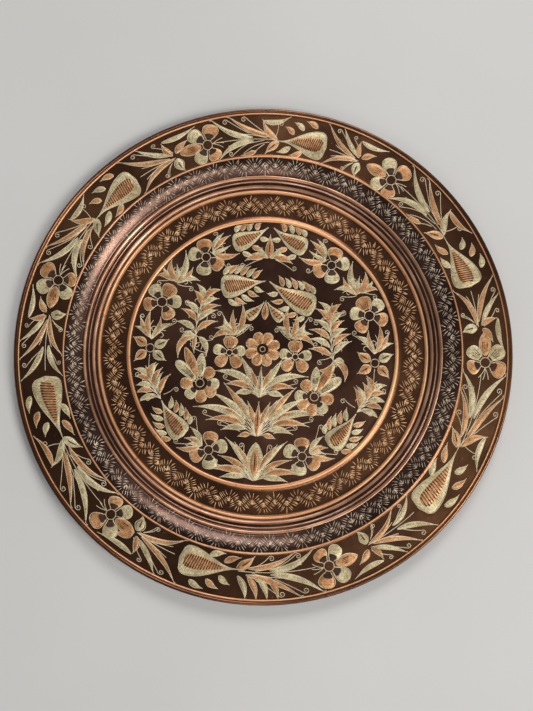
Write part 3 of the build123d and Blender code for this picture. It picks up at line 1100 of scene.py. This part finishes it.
def inner_wreath(eng, spot):
    eng.drop(spot, (1.2, 37), (13.4, 24.8), 7.6, band=1.7, bow=-1, strokes=5)
    bloom(eng, spot, (24.2, -2), 2.2, [
        ((23.8, 6.2), 10, "c", "hatch"), ((32.2, -0.4), 7.2, "p", "moon"), ((16.4, -0.4), 7.2, "p", "moon"),
        ((30.2, -9), 8, "c", ""), ((18.4, -9), 8, "c", ""),
    ])
    spray(eng, spot, (20.3, 11.5), [
        ((16.6, 33), 1.6, 3.2, "c"), ((29.6, 23), -1.2, 3.4, "p"), ((36.6, 8), 2.2, 3.4, "c"),
        ((10.4, 19.2), -1, 3, "p"), ((23.6, 28), -0.8, 3, "c"), ((34.4, 15.6), 1.2, 3, "p"),
    ])
    spray(eng, spot, (0.4, -33.4), [
        ((32, -16), 3.9, 3.9, "p"), ((24, -25), 3, 3.7, "c"), ((17.4, -31.6), 1.8, 3.4, "p"),
        ((14.6, -5.4), 0.4, 3.4, "p"), ((7.4, -13.6), 0.3, 3, "c"), ((20, -14.6), 1.5, 3, "p"),
    ], bare=0.34)


def rosette(eng):
    """The eight-petalled rose at the tray's middle."""
    spot = FloorSpot(0, 2)
    eng.ring(spot, 1.9)
    for k in range(8):
        eng.petal(spot, 22.5 + 45 * k, 4, 12.9, 6.9, "c", "slit")


def bud(eng, spot, root, tip, width):
    """A closed bud: a copper leaf with a dark slit, lying on a wider pale one."""
    count = 21
    t = np.linspace(0, 1, count)
    line = bend(root, tip, 0, count)
    eng.fill(spot, line, oval_half(t, width), "p")
    core = line[2:-3]
    core_half = oval_half(np.linspace(0, 1, len(core)), width * 0.56)
    eng.core(spot, core, core_half)
    eng.cut(spot, core[3:-3], core_half[3:-3] * 0.24, CORE_CUT_LIFT, ON_CORE)


# Start, middle of the spiral and the way it winds, in each half of each wreath.
WREATH_TENDRILS = {
    "outer": [
        ((5, 69), (19, 63.5), 1), ((44, 72), (29.7, 62.6), -1), ((41, 73), (41, 85.5), -1),
        ((66, 46), (63.5, 57), 1), ((66, 46), (56, 43), 1), ((68, 50), (79.5, 46), -1),
        ((82, 6), (66.5, 18.5), -1), ((82, 6), (90, 20.5), 1), ((80, -22), (90, -22.5), 1),
        ((70, -36), (61, -32), 1), ((72, -37), (81, -40), -1), ((40, -70), (46.5, -52), -1),
        ((40, -72), (58, -69), 1), ((12, -89.4), (28, -81.6), 1), ((6, -86), (10.4, -69), -1),
    ],
    "middle": [
        ((50, 30), (38, 24), 1), ((50, 26), (57.5, 33), 1), ((50, 12), (60, 12.5), 1),
        ((51, 0), (42.4, -5), 1), ((51, 2), (38.5, 8), -1), ((40, -22), (52.5, -14), 1),
        ((16, -56.6), (38.6, -46.6), 1), ((12, -59), (27.4, -53.4), 1), ((9, -52), (20.6, -40.4), -1),
    ],
    "inner": [
        ((21, 12.5), (12, 27), 1), ((21, 12.5), (33.5, 26), -1), ((8, -29.6), (25.6, -19.8), 1),
        ((4, -30), (10.6, -20.4), -1), ((20, 10), (9.5, 16.5), 1),
    ],
}


def bouquet():
    for side, name in ((1, "right"), (-1, "left")):
        spot = FloorSpot(0, 0, 0, side)
        for ring, draw in (("outer", outer_wreath), ("middle", middle_wreath), ("inner", inner_wreath)):
            eng = Engraver(f"{ring}_wreath_{name}", len(ring) + side)
            draw(eng, spot)
            for start, centre, spin in WREATH_TENDRILS[ring]:
                eng.tendril(spot, start, centre, spin)
            eng.make()
    eng = Engraver("bouquet_axis", 7)
    middle = FloorSpot(0, 0)
    rosette(eng)
    eng.leaf(middle, (0, 70), (0, 86), 0, 5.6, "c", slit=True)
    bud(eng, middle, (0, -93.8), (0, -66.4), 11.6)
    eng.leaf(middle, (0, -61), (0, -39), 0, 4.8, "c", slit=True)
    eng.leaf(middle, (0, -33), (0, -13.4), 0, 4.2, "p", slit=True)
    eng.leaf(middle, (0, 24), (0, 36.5), 0, 4.4, "c", slit=True)
    eng.make()


# ---------------------------------------------------------------- the serpentine bands
def serpentine_band(name, material, radius, swing, periods, inner, outer, pitch, width, seed):
    """Short strokes that stand on both sides of a dark wave running round the tray."""
    strokes = Inlay(name, material)
    chance = random.Random(seed)
    count = 4000
    turn = np.linspace(0, 2 * math.pi, count, endpoint=False)
    r = radius + swing * np.sin(periods * turn)
    wave = np.stack([r * np.cos(turn), r * np.sin(turn)], 1)
    steps = np.hypot(*np.diff(np.concatenate([wave, wave[:1]]), axis=0).T)
    along = np.cumsum(steps)
    total = int(along[-1] / pitch)
    places = np.searchsorted(along, np.linspace(0, along[-1], total, endpoint=False))
    for i in places:
        here, ahead = wave[i], wave[(i + 1) % count] - wave[i - 1]
        ahead = ahead / np.hypot(*ahead)
        left = np.array([-ahead[1], ahead[0]])
        crest = math.sin(periods * turn[i])
        for sign in (1, -1):
            # On the inside of a bend the strokes draw together, and on the outside they fan out.
            inside = sign * crest > 0.25
            reach = (inner if inside else outer) * chance.uniform(0.80, 1.32)
            start = here + left * sign * chance.uniform(0.22, 0.5) + ahead * chance.uniform(-0.2, 0.2)
            end = start + left * sign * reach + ahead * chance.uniform(-0.9, 0.9)
            half = width / 2 * chance.uniform(0.75, 1.15)
            taper = np.array([0.6, 1.0, 0.5]) * half
            strokes.ribbon(bend(start, end, chance.uniform(-0.12, 0.12), 3), taper, lift=0.14, rows=3)
    blob = np.linspace(-1, 1, 7)
    for k in range(2 * periods):
        # The inner strokes run together into a bright spot inside each bend.
        sign = 1 if k % 2 == 0 else -1
        bearing = (k + 0.5) * math.pi / periods + chance.uniform(-0.2, 0.2) / radius
        at = radius + sign * (swing - 0.7 - inner) * chance.uniform(0.9, 1.1)
        middle = at * np.array([math.cos(bearing), math.sin(bearing)])
        line = middle + np.outer(blob, np.array([-math.sin(bearing), math.cos(bearing)])) * 1.05
        half = np.maximum(0.6 * np.sqrt(1 - blob**2), THINNEST)
        strokes.ribbon(line, half, lift=0.16, crown=0.06, rows=5)
    return strokes.make()


def bands():
    serpentine_band(
        "floor_band_strokes", MATERIAL["gold"], FLOOR_BAND_R, 3.4, 41,
        inner=2.9, outer=3.7, pitch=1.35, width=0.88, seed=41,
    )
    serpentine_band(
        "shoulder_band_strokes", MATERIAL["silver"], SHOULDER_BAND_R, 2.9, 57,
        inner=2.5, outer=3.3, pitch=1.48, width=0.80, seed=57,
    )


# ---------------------------------------------------------------- wear
WORN_STRETCH = (151.6, 3.4, 0.55)   # bearing, length and half width of the longest nick
NICKS = 70
SCRATCHES = 46
SCRATCH_HALF, SCRATCH_LIFT, SCRATCH_ROOT = 0.09, 0.03, 0.1
PIT_BEARING, PIT_AT_R, PIT_R, PIT_HALF, PIT_LIFT = 33.7, 104.7, 1.1, 0.34, 0.16


def edge_nicks(chance):
    """Small places along the top of the rolled edge, where it is worn through to copper."""
    nicks = Inlay("edge_nicks", MATERIAL["bare"])
    places = [WORN_STRETCH]
    for _ in range(NICKS):
        places.append((chance.uniform(0, 360), chance.uniform(0.5, 1.7), chance.uniform(0.16, 0.3)))
    for angle, length, half in places:
        spread = length / TRAY_R
        turn = np.radians(angle) + np.linspace(-spread / 2, spread / 2, 7)
        r = ROLL_CENTRE[0] + chance.uniform(-0.3, 0.75)
        line = np.stack([r * np.cos(turn), r * np.sin(turn)], 1)
        nicks.edge_patch(line, half * np.sin(np.linspace(0.15, math.pi - 0.15, 7)))
    nicks.make()


def rim_scratches(chance):
    """Hairline scratches over the rim."""
    scratches = Inlay("rim_scratches", MATERIAL["bare"])
    for _ in range(SCRATCHES):
        start = polar((0.0, 0.0), chance.uniform(0, 360), chance.uniform(146, 176))
        heading = chance.uniform(0, 2 * math.pi)
        end = start + chance.uniform(1.2, 4.0) * np.array([math.cos(heading), math.sin(heading)])
        scratches.ribbon(bend(start, end, 0.1, 5), SCRATCH_HALF, lift=SCRATCH_LIFT, rows=3, root=SCRATCH_ROOT)
    scratches.make()


def band_pit():
    """A small dark ring in the inner band."""
    pit = Inlay("band_pit", MATERIAL["dark"])
    angle = math.radians(PIT_BEARING)
    turn = np.linspace(0, 2 * math.pi, 15)
    middle = PIT_AT_R * np.array([math.cos(angle), math.sin(angle)])
    pit.ribbon(middle + PIT_R * np.stack([np.cos(turn), np.sin(turn)], 1), PIT_HALF, lift=PIT_LIFT, rows=3)
    pit.make()


def wear_marks():
    chance = random.Random(9)
    edge_nicks(chance)
    rim_scratches(chance)
    band_pit()


# ---------------------------------------------------------------- build everything
def dress_hardware():
    """Give the hanger on the back its metals. Their shapes are the CAD model's own."""
    for node, key in (("hanger_strap", "wire"), ("hanging_ring", "wire"), ("strap_solder", "solder")):
        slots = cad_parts[node].data.materials
        if not slots:
            slots.append(None)
        for k in range(len(slots)):
            slots[k] = MATERIAL[key]


build_dish()
rim_border()
bouquet()
bands()
wear_marks()
dress_hardware()


# ---------------------------------------------------------------- the table top
TABLE = 2.4            # metres across
PALE_LOW = (0.57, 0.575, 0.56)
PALE_HIGH = (0.63, 0.635, 0.62)
TABLE_GAP = 0.0001     # keeps the table from flickering through the tray's foot


def table_material():
    """Plain pale floor, with the faintest clouding."""
    kit = Nodes("pale_table")
    tone = kit.ramp(kit.noise(3.0, 4.0, 0.5), [(0.3, PALE_LOW), (0.7, PALE_HIGH)])
    kit.link(tone, "Color", kit.shader, "Base Color")
    kit.set(kit.shader, Roughness=0.8)
    return kit.material


def build_table():
    half = TABLE / 2
    mesh = bpy.data.meshes.new("table_top")
    corners = [(x, y, -TABLE_GAP) for x, y in ((-half, -half), (half, -half), (half, half), (-half, half))]
    mesh.from_pydata(corners, [], [(0, 1, 2, 3)])
    mesh.materials.append(table_material())
    table = bpy.data.objects.new("table_top", mesh)
    bpy.context.scene.collection.objects.link(table)


build_table()


# ---------------------------------------------------------------- light and camera
# Name, bearing from +x and lean from overhead in degrees, distance and width in metres, watts, colour.
LAMPS = [
    ("right_window", 335, 38, 2.0, 0.8, 18, (1.0, 0.96, 0.93)),
    ("shoulder_glint", 298, 27, 2.0, 0.35, 4, (1.0, 0.96, 0.90)),
    ("far_window", 82, 45, 1.9, 0.8, 16, (1.0, 0.95, 0.93)),
    ("near_fill", 272, 44, 2.0, 0.7, 4, (1.0, 0.93, 0.90)),
]
# The room is dim overhead and bright along its walls, which gives the turned rings their contrast.
SKY = [(0.15, (0.62, 0.66, 0.72, 1)), (0.93, (0.11, 0.11, 0.12, 1))]
SKY_STRENGTH = 0.60


def soft_light(name, bearing, lean, distance, size, power, colour):
    """A large soft lamp aimed at the tray."""
    turn, tilt = math.radians(bearing), math.radians(lean)
    level = math.sin(tilt)
    place = distance * Vector((level * math.cos(turn), level * math.sin(turn), math.cos(tilt)))
    data = bpy.data.lights.new(name, "AREA")
    data.shape = "DISK"
    data.size, data.energy, data.color = size, power, colour
    lamp = bpy.data.objects.new(name, data)
    lamp.matrix_world = Matrix.Translation(place) @ (-place).to_track_quat("-Z", "Y").to_matrix().to_4x4()
    bpy.context.scene.collection.objects.link(lamp)


def add_sky():
    world = bpy.data.worlds.new("room")
    world.use_nodes = True
    tree = world.node_tree
    where = tree.nodes.new("ShaderNodeTexCoord")
    parts = tree.nodes.new("ShaderNodeSeparateXYZ")
    ramp = tree.nodes.new("ShaderNodeValToRGB")
    for stop, (place, colour) in zip(ramp.color_ramp.elements, SKY):
        stop.position, stop.color = place, colour
    tree.links.new(where.outputs["Generated"], parts.inputs[0])
    tree.links.new(parts.outputs["Z"], ramp.inputs["Fac"])
    tree.links.new(ramp.outputs["Color"], tree.nodes["Background"].inputs["Color"])
    tree.nodes["Background"].inputs["Strength"].default_value = SKY_STRENGTH
    bpy.context.scene.world = world


CAMERA_AT = Vector((18.5, -67.5, 656.2)) * MM
CAMERA_LOOK = Vector((-0.0232, 0.0988, -0.9948))
CAMERA_UP = Vector((-0.0678, 0.9927, 0.1001))
LENS_MM, SENSOR_MM = 45.57, 36.0
CLIP = (0.01, 20)


def add_camera():
    data = bpy.data.cameras.new("photo_view")
    data.lens, data.sensor_width, data.sensor_fit = LENS_MM, SENSOR_MM, "AUTO"
    data.clip_start, data.clip_end = CLIP
    camera = bpy.data.objects.new("photo_view", data)
    back = -CAMERA_LOOK.normalized()
    right = CAMERA_UP.cross(back).normalized()
    up = back.cross(right)
    turn = Matrix((right, up, back)).transposed().to_4x4()
    camera.matrix_world = Matrix.Translation(CAMERA_AT) @ turn
    bpy.context.scene.collection.objects.link(camera)
    bpy.context.scene.camera = camera


add_sky()
for lamp_values in LAMPS:
    soft_light(*lamp_values)
add_camera()
bpy.context.scene.view_settings.view_transform = "Standard"
bpy.context.scene.view_settings.look = "None"
bpy.context.scene.view_settings.exposure = 0.0
